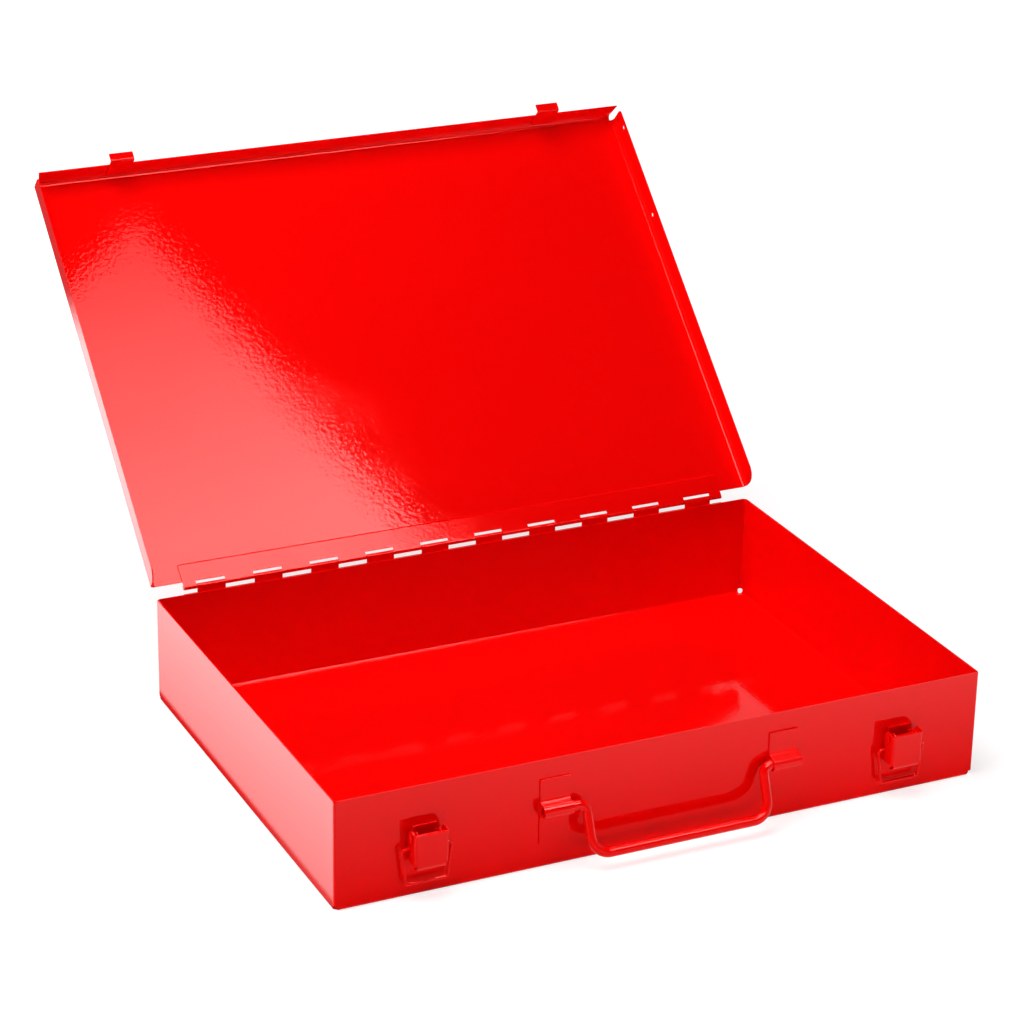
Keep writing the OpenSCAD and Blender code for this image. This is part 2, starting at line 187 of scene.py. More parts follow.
class Graph:
    """A shader or geometry node tree under construction."""

    def __init__(self, tree: bpy.types.NodeTree) -> None:
        """Starts from a tree.

        Args:
            tree: The tree to add nodes to.
        """
        self.tree = tree

    def node(
        self, kind: str, settings: dict[str, object] | None = None,
        values: dict[str | int, object] | None = None,
    ) -> bpy.types.Node:
        """Adds one node.

        Args:
            kind: The node's type name.
            settings: Its properties, set first.
            values: Its inputs by name or index: a Value, a socket, or a constant.

        Returns:
            The node.
        """
        made = self.tree.nodes.new(kind)
        for key, setting in (settings or {}).items():
            setattr(made, key, setting)
        for key, value in (values or {}).items():
            if isinstance(value, Value):
                value = value.socket
            if isinstance(value, bpy.types.NodeSocket):
                self.tree.links.new(value, made.inputs[key])
            else:
                made.inputs[key].default_value = value
        return made

    def value(
        self, kind: str, output: str, settings: dict[str, object] | None = None,
        values: dict[str | int, object] | None = None,
    ) -> Value:
        """Adds one node and wraps one of its outputs.

        Args:
            kind: The node's type name.
            output: The name of the output.
            settings: Its properties.
            values: Its inputs.

        Returns:
            The wrapped output.
        """
        return Value(self, self.node(kind, settings, values).outputs[output])

    def ray(self, kind: Ray) -> Value:
        """1 on rays of one kind and 0 on others."""
        return self.value("ShaderNodeLightPath", kind.value)


def new_material(name: str) -> tuple[bpy.types.Material, Graph]:
    """Starts a material with no nodes.

    Args:
        name: The material's name.

    Returns:
        The material, and the graph for its nodes.
    """
    made = bpy.data.materials.new(name)
    made.use_nodes = True
    made.node_tree.nodes.clear()
    return made, Graph(made.node_tree)


# ---- Finishes ----


@dataclass(frozen=True)
class Noise:
    """A noise pattern.

    Attributes:
        waves: Waves per metre.
        octaves: How many finer layers lie over them.
        rough: How strong the finer layers are.
    """

    waves: float
    octaves: float
    rough: float = 0.5

    def at(self, spot: Value) -> Value:
        """Reads the pattern.

        Args:
            spot: The coordinates.

        Returns:
            Values around 0.5.
        """
        return spot.graph.value("ShaderNodeTexNoise", "Fac", None, {
            "Vector": spot, "Scale": self.waves, "Detail": self.octaves, "Roughness": self.rough,
        })


@dataclass(frozen=True)
class PowderCoat:
    """Glossy sprayed and baked paint, with the fine orange peel such paint has.

    Attributes:
        name: The material's name.
        colour: The full coat.
        thin_colour: The thinnest coat.
        mirror_tint: The colour of what the paint mirrors.
        ior: The coat's index of refraction.
        roughness: How dull it is where nothing has wiped it.
        seed: Sets one coat's patterns apart from another's.
        seed_step: How far a seed of 1 shifts the patterns.
        clouds: Broad changes of thickness.
        flecks: Small changes of thickness.
        cloud_share: How much the clouds count against the flecks.
        thinning: How the thickness turns into a share of the thin colour.
        wipes: Where wiping has dulled the coat.
        wiped: How dull that makes it.
        grain: The fine change of the gloss.
        grain_depth: How strong that change is.
        peel: The orange peel.
        peel_height: How high the peel stands.
        swell: The broader waves under the peel.
        swell_height: How high the waves stand.
        nib_cells: Nibs of dust per metre.
        nib: A nib's outline, from its middle outwards in cells.
        nib_height: How high a nib stands.
    """

    name: str
    colour: Colour = (0.77, 0.001, 0.0008)
    thin_colour: Colour = (0.70, 0.001, 0.0008)
    mirror_tint: Colour = (1.0, 0.07, 0.065)
    ior: float = 1.5
    roughness: float = 0.05
    seed: float = 0.0
    seed_step: Point = (1.0, 0.37, 0.71)
    clouds: Noise = Noise(9.0, 3.0)
    flecks: Noise = Noise(140.0, 2.0)
    cloud_share: float = 0.75
    thinning: Fade = Fade((0.32, 0.72), (0.0, 0.35))
    wipes: Noise = Noise(14.0, 4.0, 0.6)
    wiped: Fade = Fade((0.5, 0.75), (0.0, 0.05))
    grain: Noise = Noise(900.0, 1.0)
    grain_depth: float = 0.02
    peel: Noise = Noise(370.0, 1.0)
    peel_height: float = 0.037 * MM
    swell: Noise = Noise(120.0, 0.0)
    swell_height: float = 0.003 * MM
    nib_cells: float = 38.0
    nib: Fade = Fade((0.0, 0.016), (1.0, 0.0), Blend.SMOOTH)
    nib_height: float = 0.08 * MM

    def material(self) -> bpy.types.Material:
        """Builds the material.

        Returns:
            A material that reads Object coordinates only.
        """
        made, graph = new_material(self.name)
        spot = graph.value("ShaderNodeMapping", "Vector", None, {
            "Vector": graph.value("ShaderNodeTexCoord", "Object"),
            "Location": [step * self.seed for step in self.seed_step],
        })
        shader = graph.node("ShaderNodeBsdfPrincipled", None, {
            "Base Color": self._colour(graph, spot),
            "Roughness": self._roughness(spot),
            "Normal": self._normal(graph, spot),
            "IOR": self.ior,
            "Specular Tint": (*self.mirror_tint, 1.0),
        })
        graph.node("ShaderNodeOutputMaterial", None, {"Surface": shader.outputs[0]})
        return made

    def _colour(self, graph: Graph, spot: Value) -> Value:
        """The paint's colour, a little deeper where the coat is thinner.

        Args:
            graph: The material's graph.
            spot: The coordinates.

        Returns:
            The colour.
        """
        clouds = self.clouds.at(spot) * self.cloud_share
        thickness = clouds + self.flecks.at(spot) * (1 - self.cloud_share)
        share, full, thin, result = 0, 6, 7, 2
        mix = graph.node("ShaderNodeMix", {"data_type": "RGBA"}, {
            share: thickness.fade(self.thinning),
            full: (*self.colour, 1.0),
            thin: (*self.thin_colour, 1.0),
        })
        return Value(graph, mix.outputs[result])

    def _roughness(self, spot: Value) -> Value:
        """The gloss, with faint duller patches left by wiping.

        Args:
            spot: The coordinates.

        Returns:
            The roughness.
        """
        wiped = self.wipes.at(spot).fade(self.wiped)
        grain = self.grain.at(spot) * self.grain_depth
        return wiped + grain + (self.roughness - self.grain_depth / 2)

    def _normal(self, graph: Graph, spot: Value) -> Value:
        """Orange peel, and a few nibs of dust under the paint.

        Args:
            graph: The material's graph.
            spot: The coordinates.

        Returns:
            The bent normal.
        """
        waves = self.peel.at(spot) * self.peel_height + self.swell.at(spot) * self.swell_height
        away = graph.value("ShaderNodeTexVoronoi", "Distance", {"feature": "F1"}, {
            "Vector": spot, "Scale": self.nib_cells,
        })
        height = waves + away.fade(self.nib) * self.nib_height
        return graph.value("ShaderNodeBump", "Normal", None, {
            "Strength": 1.0, "Distance": 1.0, "Height": height,
        })


class Finishes:
    """The coats of the case, made once and shared."""

    def __init__(self) -> None:
        """Makes one material for each slot and one for thin paint on edges, whose lighter full
        colour is also a painted highlight.
        """
        hinge, fitting = (0.74, 0.001, 0.0008), (0.75, 0.0012, 0.001)
        coats = {
            Slot.CASE: PowderCoat("gloss_red_case"),
            Slot.HINGE: PowderCoat("gloss_red_hinge", hinge, roughness=0.09, seed=3.1),
            Slot.FITTING: PowderCoat("gloss_red_fitting", fitting, roughness=0.06, seed=5.3),
            Slot.HANDLE: PowderCoat("gloss_red_handle", fitting, roughness=0.06, seed=8.9),
        }
        self.by_slot = {slot: coat.material() for slot, coat in coats.items()}
        # The edges' coat: thinner, duller paint, with a full colour a little lighter than the
        # case's that paints a highlight along every softened edge.
        self.edge = PowderCoat(
            "gloss_red_edge", (0.80, 0.003, 0.002), (0.58, 0.002, 0.0015), roughness=0.16, seed=1.7,
            peel_height=0.0185 * MM, swell_height=0.0015 * MM,
        ).material()


# ---- Meshes ----

SHARP_ANGLE = math.radians(32)
FLAT_ANGLE = math.radians(0.6)
SAME_SPOT = 0.002 * MM
EDGE_STEPS = 2
BIG_FACE_WEIGHT = 90


def new_object(name: str, data: bpy.types.ID) -> bpy.types.Object:
    """Links a mesh, a lamp or a camera into the scene as an object at the origin.

    Args:
        name: The object's name.
        data: What it shows.

    Returns:
        The object.
    """
    made = bpy.data.objects.new(name, data)
    bpy.context.scene.collection.objects.link(made)
    return made


def mesh_of(name: str, shape: bmesh.types.BMesh) -> bpy.types.Mesh:
    """Writes a bmesh to a new mesh and frees it.

    Args:
        name: The mesh's name.
        shape: The bmesh.

    Returns:
        The mesh.
    """
    mesh = bpy.data.meshes.new(name)
    shape.to_mesh(mesh)
    shape.free()
    return mesh


def finish_piece(
    piece: bpy.types.Object, body: str, slot: Slot, finishes: Finishes, stands_for: Iterable[str],
    edge: float,
) -> bpy.types.Object:
    """Dresses a piece, softens its edges and ties it to its body.

    Args:
        piece: The piece, in place.
        body: The body it rides on.
        slot: The material slot.
        finishes: The coats.
        stands_for: The CAD nodes it replaces.
        edge: Width of the softened edges.

    Returns:
        The piece.
    """
    piece.data.materials.clear()
    coats = [finishes.by_slot[slot], finishes.edge]
    for coat in coats:
        piece.data.materials.append(coat)
    for face in piece.data.polygons:
        face.material_index = 0
        face.use_smooth = True
    piece.data.set_sharp_from_angle(angle=SHARP_ANGLE)
    bevel = piece.modifiers.new("edges", "BEVEL")
    bevel.limit_method = "ANGLE"
    bevel.angle_limit = SHARP_ANGLE
    bevel.width = edge
    bevel.segments = EDGE_STEPS
    # The softened edges wear the edge coat, with its painted highlight.
    bevel.material = coats.index(finishes.edge)
    weigh = piece.modifiers.new("normals", "WEIGHTED_NORMAL")
    weigh.weight = BIG_FACE_WEIGHT
    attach(piece, body)
    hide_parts(*stands_for)
    log.info("%s rides on %s, %d faces", piece.name, body, len(piece.data.polygons))
    return piece


def finished_copy(
    node: str, name: str, body: str, slot: Slot, finishes: Finishes, edge: float
) -> bpy.types.Object:
    """A finished copy of a CAD node, with its loose triangles merged into whole faces.

    Args:
        node: The CAD node.
        name: The new piece's name.
        body: The body it rides on.
        slot: The material slot.
        finishes: The coats.
        edge: Width of the softened edges.

    Returns:
        The piece.
    """
    shape = bmesh.new()
    shape.from_mesh(frame["nodes"][node].data)
    bmesh.ops.remove_doubles(shape, verts=shape.verts, dist=SAME_SPOT)
    bmesh.ops.dissolve_limit(shape, angle_limit=FLAT_ANGLE, verts=shape.verts, edges=shape.edges)
    piece = new_object(name, mesh_of(name, shape))
    return finish_piece(piece, body, slot, finishes, [node], edge)


# ---- Geometry Nodes ----


class Tree:
    """A Geometry Nodes tree with named inputs."""

    def __init__(self, name: str, inputs: Sequence[tuple[str, str]]) -> None:
        """Starts the tree.

        Args:
            name: The tree's name.
            inputs: Each further input's name and socket type.
        """
        self.group = bpy.data.node_groups.new(name, "GeometryNodeTree")
        self.ids: dict[str, str] = {}
        sockets = self.group.interface
        sockets.new_socket("Geometry", in_out="INPUT", socket_type="NodeSocketGeometry")
        for label, kind in inputs:
            made = sockets.new_socket(label, in_out="INPUT", socket_type=kind)
            self.ids[label] = made.identifier
        sockets.new_socket("Geometry", in_out="OUTPUT", socket_type="NodeSocketGeometry")
        self.graph = Graph(self.group)
        self.source = self.graph.node("NodeGroupInput")

    def close(self, geometry: bpy.types.NodeSocket) -> None:
        """Ends the tree in Realize Instances and Set Material.

        Args:
            geometry: What the tree makes.
        """
        real = self.graph.node("GeometryNodeRealizeInstances", None, {"Geometry": geometry})
        paint = self.graph.node("GeometryNodeSetMaterial", None, {
            "Geometry": real.outputs[0], "Material": self.source.outputs["Material"],
        })
        self.graph.node("NodeGroupOutput", None, {"Geometry": paint.outputs[0]})

    def run(self, seed: bpy.types.Object, values: dict[str, object]) -> bpy.types.Object:
        """Runs the tree on an object and keeps the result as its plain mesh.

        Args:
            seed: The object that carries the tree's geometry.
            values: The inputs by name.

        Returns:
            The object with its new mesh.
        """
        modifier = seed.modifiers.new(self.group.name, "NODES")
        modifier.node_group = self.group
        for label, value in values.items():
            modifier[self.ids[label]] = value
        bpy.context.view_layer.update()
        ready = seed.evaluated_get(bpy.context.evaluated_depsgraph_get())
        mesh = bpy.data.meshes.new_from_object(ready)
        mesh.name = seed.name
        seed.modifiers.remove(modifier)
        seed.data = mesh
        return seed


class RodTree(Tree):
    """Sweeps a round section along a line whose corners are rounded to each point's own radius."""

    ATTRIBUTE = "corner_radius"
    BEND_STEPS = 14

    def __init__(self) -> None:
        """Builds the tree."""
        super().__init__("swept_rod", [
            ("Radius", "NodeSocketFloat"), ("Sides", "NodeSocketInt"),
            ("Bend steps", "NodeSocketInt"), ("Material", "NodeSocketMaterial"),
        ])
        graph, given = self.graph, self.source.outputs
        line = graph.node("GeometryNodeMeshToCurve", None, {"Mesh": given["Geometry"]})
        corner = graph.node("GeometryNodeInputNamedAttribute", {"data_type": "FLOAT"}, {
            "Name": self.ATTRIBUTE,
        })
        bent = graph.node("GeometryNodeFilletCurve", {"mode": "POLY"}, {
            "Curve": line.outputs[0], "Count": given["Bend steps"],
            "Radius": corner.outputs["Attribute"],
        })
        round_section = graph.node("GeometryNodeCurvePrimitiveCircle", {"mode": "RADIUS"}, {
            "Resolution": given["Sides"], "Radius": given["Radius"],
        })
        rod = graph.node("GeometryNodeCurveToMesh", None, {
            "Curve": bent.outputs[0], "Profile Curve": round_section.outputs["Curve"],
            "Fill Caps": True,
        })
        self.close(rod.outputs[0])

    def rod(
        self, name: str, path: Sequence[Vector], bends: Sequence[float], radius: float, sides: int,
        material: bpy.types.Material,
    ) -> bpy.types.Object:
        """Makes one rod.

        Args:
            name: The piece's name.
            path: The corners of its centre line.
            bends: The bend radius at each corner.
            radius: The rod's radius.
            sides: Faces around it.
            material: Its coat.

        Returns:
            The rod as a plain mesh.
        """
        mesh = bpy.data.meshes.new(name)
        mesh.from_pydata([tuple(p) for p in path], [(i, i + 1) for i in range(len(path) - 1)], [])
        corners = mesh.attributes.new(self.ATTRIBUTE, "FLOAT", "POINT")
        corners.data.foreach_set("value", list(bends))
        return self.run(new_object(name, mesh), {
            "Radius": radius, "Sides": sides, "Bend steps": self.BEND_STEPS, "Material": material,
        })


class RowTree(Tree):
    """Repeats the object's own mesh in a row along X."""

    def __init__(self) -> None:
        """Builds the tree."""
        super().__init__("knuckle_row", [
            ("Count", "NodeSocketInt"), ("Pitch", "NodeSocketFloat"), ("Start", "NodeSocketFloat"),
            ("Material", "NodeSocketMaterial"),
        ])
        graph, given = self.graph, self.source.outputs
        step = graph.node("ShaderNodeCombineXYZ", None, {"X": given["Pitch"]})
        start = graph.node("ShaderNodeCombineXYZ", None, {"X": given["Start"]})
        row = graph.node("GeometryNodeMeshLine", {"mode": "OFFSET"}, {
            "Count": given["Count"], "Start Location": start.outputs[0], "Offset": step.outputs[0],
        })
        placed = graph.node("GeometryNodeInstanceOnPoints", None, {
            "Points": row.outputs[0], "Instance": given["Geometry"],
        })
        self.close(placed.outputs[0])

    def row(
        self, name: str, unit: bmesh.types.BMesh, count: int, pitch: float,
        material: bpy.types.Material,
    ) -> bpy.types.Mesh:
        """Makes one row, with its middle at X = 0.

        Args:
            name: The row's name.
            unit: What repeats, around X = 0.
            count: How often.
            pitch: From one unit to the next.
            material: Its coat.

        Returns:
            The row's mesh.
        """
        row = self.run(new_object(name, mesh_of(name, unit)), {
            "Count": count, "Pitch": pitch, "Start": (1 - count) * pitch / 2, "Material": material,
        })
        mesh = row.data
        bpy.data.objects.remove(row)
        return mesh


# ---- Sub-assemblies ----


@dataclass
class Case:
    """The tray and the lid, folded from one gauge of sheet.

    Attributes:
        finishes: The coats.
        edge: Width of the softened edges.
    """

    finishes: Finishes
    edge: float = 0.24 * MM

    def build(self) -> list[bpy.types.Object]:
        """Makes both pieces.

        Returns:
            The pieces.
        """
        parts = [("base_tray", "tray_shell", "tray"), ("lid", "lid_shell", "lid")]
        return [
            finished_copy(node, name, body, Slot.CASE, self.finishes, self.edge)
            for node, name, body in parts
        ]


@dataclass
class PianoHinge:
    """Two leaves with rolled knuckles, and the pin through them.

    A leaf's outlines are drawn as (y, z) round the pin, with the strip towards -y.

    Attributes:
        finishes: The coats.
        rows: The tree that repeats a knuckle.
        line_y: Where the pin lies.
        line_z: Its height.
        lid_open: How far the lid stands open, in degrees.
        length: The leaves' length.
        pitch: From the middle of one knuckle to that of the other leaf's next.
        gap: The space between them.
        base_count: Knuckles on the tray's leaf.
        radius: A knuckle's outer radius.
        bore: Its inner radius.
        leaf: The sheet's thickness.
        width: From the pin to a leaf's far edge.
        tray_slot: From the pin to the strip on the tray's leaf.
        lid_slot: The same on the lid's leaf.
        curl_start: Where a knuckle's curl begins, in degrees.
        curl_end: Where it ends.
        curl_steps: Faces round the curl.
        curl_lip: From the pin's line to where the curl's seam opens.
        shear_high: The slope's height on the sheared far edge.
        shear_deep: The slope's depth there.
        weld: How close two corners are joined to one.
        edge: Width of the softened edges.
    """

    finishes: Finishes
    rows: RowTree
    line_y: float = 154.2 * MM
    line_z: float = 77.0 * MM
    lid_open: float = 137.0
    length: float = 401.0 * MM
    pitch: float = 20.15 * MM
    gap: float = 0.35 * MM
    base_count: int = 10
    radius: float = 1.7 * MM
    bore: float = 0.85 * MM
    leaf: float = 0.8 * MM
    width: float = 16.5 * MM
    tray_slot: float = 4.0 * MM
    lid_slot: float = 3.2 * MM
    curl_start: float = -90.0
    curl_end: float = 206.0
    curl_steps: int = 26
    curl_lip: float = 0.3 * MM
    shear_high: float = 0.72 * MM
    shear_deep: float = 1.0 * MM
    weld: float = 0.001 * MM
    edge: float = 0.12 * MM

    def build(self) -> list[bpy.types.Object]:
        """Makes the two leaves and the pin.

        Returns:
            The pieces.
        """
        y, z = self.line_y, self.line_z
        upright = Matrix(((1, 0, 0, 0), (0, 0, 1, y), (0, 1, 0, z), (0, 0, 0, 1)))
        opened = Matrix.Rotation(-math.radians(self.lid_open), 4, "X")
        on_lid = Matrix.Translation((0, y, z)) @ opened
        base = self._leaf("hinge_tray_leaf", self.base_count, self.tray_slot, upright, False)
        lid = self._leaf("hinge_lid_side_leaf", self.base_count - 1, self.lid_slot, on_lid, True)
        slot, coats, edge = Slot.HINGE, self.finishes, self.edge
        return [
            finish_piece(base, "tray", slot, coats, ["hinge_base_leaf"], edge),
            finish_piece(lid, "lid", slot, coats, ["hinge_lid_leaf"], edge),
            finished_copy("hinge_pin", "hinge_wire", "tray", slot, coats, edge),
        ]

    def _strip_section(self, slot: float, under: bool) -> Outline:
        """The flat strip's outline, from the slots to the sheared far edge.

        Args:
            slot: How far from the pin the strip begins.
            under: Whether the sheared edge slopes on the underside.

        Returns:
            The outline's corners.
        """
        top, near, far = self.leaf - self.radius, self.shear_deep - self.width, -self.width
        sheared = [(near, top), (far, top - self.shear_high), (far, -self.radius)]
        if under:
            sheared = [(far, top), (far, self.shear_high - self.radius), (near, -self.radius)]
        return [(-slot, top), *sheared, (-slot, -self.radius)]

    def _curl_section(self, slot: float) -> Outline:
        """The rolled knuckle's outline, with the seam where the curl ends.

        Args:
            slot: How far from the pin the strip begins.

        Returns:
            The outline's corners.
        """
        step = (self.curl_end - self.curl_start) / self.curl_steps
        angles = [math.radians(self.curl_start + step * i) for i in range(self.curl_steps + 1)]
        outer = [(self.radius * math.cos(a), self.radius * math.sin(a)) for a in angles]
        inner = [(self.bore * math.cos(a), self.bore * math.sin(a)) for a in reversed(angles)]
        top = self.leaf - self.radius
        return [(-slot, -self.radius), *outer, *inner, (-self.curl_lip, top), (-slot, top)]

    @staticmethod
    def _extrude(
        shape: bmesh.types.BMesh, section: Outline, span: Pair, caps: Sequence[float] = (),
        joined: bool = False,
    ) -> None:
        """Runs an outline along X.

        Args:
            shape: The bmesh to add to.
            section: The outline.
            span: Its two ends.
            caps: The ends that are closed.
            joined: Whether its last side stays open, where something joins on.
        """
        ends = {x: [shape.verts.new((x, y, z)) for y, z in section] for x in span}
        low, high = (ends[x] for x in span)
        for i in range(len(section) - 1 if joined else len(section)):
            j = (i + 1) % len(section)
            shape.faces.new((low[i], low[j], high[j], high[i]))
        for x in caps:
            shape.faces.new(ends[x])

    def _knuckle(
        self, shape: bmesh.types.BMesh, slot: float, strip: Outline, span: Pair,
        caps: Sequence[float] = (),
    ) -> None:
        """Adds one knuckle with the strip behind it.

        Args:
            shape: The bmesh to add to.
            slot: How far from the pin the strip begins.
            strip: The strip's outline.
            span: The knuckle's two ends.
            caps: The ends where the leaf stops.
        """
        self._extrude(shape, self._curl_section(slot), span, span, joined=True)
        self._extrude(shape, strip, span, caps, joined=True)

    def _leaf(
        self, name: str, count: int, slot: float, place: Matrix, closed: bool
    ) -> bpy.types.Object:
        """Makes one leaf: its row of knuckles, the strip between them and its two ends.

        Args:
            name: The piece's name.
            count: Knuckles of full length.
            slot: How far from the pin the strip begins.
            place: Where the leaf goes.
            closed: Whether a short knuckle fills each end of the leaf, as on the lid's.

        Returns:
            The leaf as one closed mesh.
        """
        half, open_half = (self.pitch - self.gap) / 2, (self.pitch + self.gap) / 2
        strip = self._strip_section(slot, closed)
        knuckle, between, shape = bmesh.new(), bmesh.new(), bmesh.new()
        self._knuckle(knuckle, slot, strip, (-half, half))
        self._extrude(between, strip, (-open_half, open_half))
        spaces = count + 1 if closed else count - 1
        paint = self.finishes.by_slot[Slot.HINGE]
        for label, unit, number in (("knuckles", knuckle, count), ("spaces", between, spaces)):
            row = self.rows.row(f"{name}_{label}", unit, number, 2 * self.pitch, paint)
            shape.from_mesh(row)
        inside = (max(count, spaces) - 1) * self.pitch + (open_half if closed else half)
        end = self.length / 2
        for span, cap in (((-end, -inside), -end), ((inside, end), end)):
            if closed:
                self._knuckle(shape, slot, strip, span, (cap,))
            else:
                self._extrude(shape, strip, span, (cap,))
        bmesh.ops.remove_doubles(shape, verts=shape.verts, dist=self.weld)
        bmesh.ops.transform(shape, matrix=place, verts=shape.verts)
        bmesh.ops.recalc_face_normals(shape, faces=shape.faces)
        return new_object(name, mesh_of(name, shape))


@dataclass
class DrawLatch:
    """One latch: base plate, pivot pin, lever, wire bail, and the keeper on the lid.

    Attributes:
        finishes: The coats.
        rods: The tree that sweeps a rod.
        side: Which latch it is.
        middle: From the case's middle to the latch's.
        bail_y: Where the bail hangs in its lever.
        bail_z: Its height there.
        wire_radius: The wire's radius.
        wire_bend: The bend radius at each corner.
        wire_end: From the latch's middle to the wire's end.
        half_top: From the latch's middle to the upper corner.
        half_bar: From the latch's middle to the lower corner.
        bail_length: From the pivot to the bar.
        wire_sides: Faces round the wire.
        edge: Width of the softened edges.
    """

    finishes: Finishes
    rods: RodTree
    side: Side
    middle: float = 162.5 * MM
    bail_y: float = -156.5 * MM
    bail_z: float = 34.2 * MM
    wire_radius: float = 1.0 * MM
    wire_bend: float = 2.0 * MM
    wire_end: float = 9.4 * MM
    half_top: float = 16.2 * MM
    half_bar: float = 13.3 * MM
    bail_length: float = 23.3 * MM
    wire_sides: int = 28
    edge: float = 0.22 * MM

    def build(self) -> list[bpy.types.Object]:
        """Makes the five pieces.

        Returns:
            The pieces.
        """
        label, slot = self.side.label, Slot.FITTING
        parts = [
            (f"latch_plate_{label}", f"latch_base_{label}", "tray"),
            (f"latch_pin_{label}", f"latch_pivot_{label}", "tray"),
            (f"latch_lever_{label}", f"latch_arm_{label}", f"{label}_lever"),
            (f"keeper_{label}", f"lid_keeper_{label}", "lid"),
        ]
        made = [
            finished_copy(node, name, body, slot, self.finishes, self.edge)
            for node, name, body in parts
        ]
        bail = self.rods.rod(
            f"latch_wire_{label}", self._bail_path(), [0, *[self.wire_bend] * 4, 0],
            self.wire_radius, self.wire_sides, self.finishes.by_slot[slot],
        )
        node = f"latch_bail_{label}"
        made.append(finish_piece(bail, f"{label}_bail", slot, self.finishes, [node], self.edge))
        return made

    def _bail_path(self) -> list[Vector]:
        """The bail's centre line.

        Returns:
            Its corners.
        """
        middle = self.side.value * self.middle
        low = self.bail_z - self.bail_length
        line = [
            (self.wire_end, self.bail_z), (self.half_top, self.bail_z), (self.half_bar, low),
            (-self.half_bar, low), (-self.half_top, self.bail_z), (-self.wire_end, self.bail_z),
        ]
        return [Vector((middle + x, self.bail_y, z)) for x, z in line]


@dataclass
class DropHandle:
    """The bent rod and its two strap brackets.

    Attributes:
        finishes: The coats.
        rods: The tree that sweeps a rod.
        line_y: Where the rod turns in its straps.
        line_z: Its height there.
        slid: How far the handle has slid to the right.
        tilt: How far it hangs out, in degrees.
        radius: The rod's radius.
        rod_end: From the handle's middle to the rod's end.
        arm_top: From its middle to where an arm turns down.
        grip_half: From its middle to where the grip begins.
        drop: From the straps to the grip.
        arm_bend: The bend radius at the arms' tops.
        grip_bend: The bend radius at the grip's ends.
        sides: Faces round the rod.
        edge: Width of the softened edges.
    """

    finishes: Finishes
    rods: RodTree
    line_y: float = -157.125 * MM
    line_z: float = 40.7 * MM
    slid: float = 2.4 * MM
    tilt: float = 22.0
    radius: float = 3.175 * MM
    rod_end: float = 87.3 * MM
    arm_top: float = 60.7 * MM
    grip_half: float = 60.42 * MM
    drop: float = 31.9 * MM
    arm_bend: float = 5.5 * MM
    grip_bend: float = 11.5 * MM
    sides: int = 44
    edge: float = 0.28 * MM

    def build(self) -> list[bpy.types.Object]:
        """Makes the rod and the brackets.

        Returns:
            The pieces.
        """
        coats, edge = self.finishes, self.edge
        bends = [0, self.arm_bend, self.grip_bend, self.grip_bend, self.arm_bend, 0]
        paint = coats.by_slot[Slot.HANDLE]
        rod = self.rods.rod("handle_rod", self._path(), bends, self.radius, self.sides, paint)
        made = [finish_piece(rod, "handle", Slot.HANDLE, coats, ["carry_handle"], edge)]
        for side in Side:
            node, name = f"handle_bracket_{side.label}", f"handle_strap_{side.label}"
            made.append(finished_copy(node, name, "tray", Slot.FITTING, coats, edge))
        return made

    def _path(self) -> list[Vector]:
        """The rod's centre line.

        Returns:
            Its corners.
        """
        out, down = math.sin(math.radians(self.tilt)), math.cos(math.radians(self.tilt))
        line = [
            (self.rod_end, 0.0), (self.arm_top, 0.0), (self.grip_half, self.drop),
            (-self.grip_half, self.drop), (-self.arm_top, 0.0), (-self.rod_end, 0.0),
        ]
        y, z = self.line_y, self.line_z
        return [Vector((self.slid + x, y - s * out, z - s * down)) for x, s in line]


# ---- Studio ----


@dataclass(frozen=True)
class Camera:
    """The camera.

    Attributes:
        azimuth: Its bearing in degrees, with 0 straight in front.
        elevation: Its angle above the horizon, in degrees.
        roll: Its turn about its own axis, in degrees.
        distance: How far it stands from its target.
        target: The point it looks at.
        lens: Its focal length in millimetres.
        sensor: Its sensor's width in millimetres.
        reach: How far it sees.
    """

    azimuth: float = -25.524
    elevation: float = 23.122
    roll: float = 1.092
    distance: float = 2.0767
    target: Point = (-0.03932, 0.0, 0.16876)
    lens: float = 117.517
    sensor: float = 36.0
    reach: float = 50.0

    def place(self) -> None:
        """Puts the camera in the scene."""
        a, e, r = (math.radians(v) for v in (self.azimuth, self.elevation, self.roll))
        back = Vector((math.sin(a) * math.cos(e), -math.cos(a) * math.cos(e), math.sin(e)))
        level = Vector((math.cos(a), math.sin(a), 0.0))
        rise = back.cross(level)
        right = math.cos(r) * level + math.sin(r) * rise
        up = -math.sin(r) * level + math.cos(r) * rise
        data = bpy.data.cameras.new("camera")
        data.lens = self.lens
        data.sensor_width = self.sensor
        data.clip_end = self.reach
        camera = new_object("camera", data)
        turn = Matrix((right, up, back)).transposed().to_4x4()
        camera.matrix_world = Matrix.Translation(Vector(self.target) + self.distance * back) @ turn
        bpy.context.scene.camera = camera


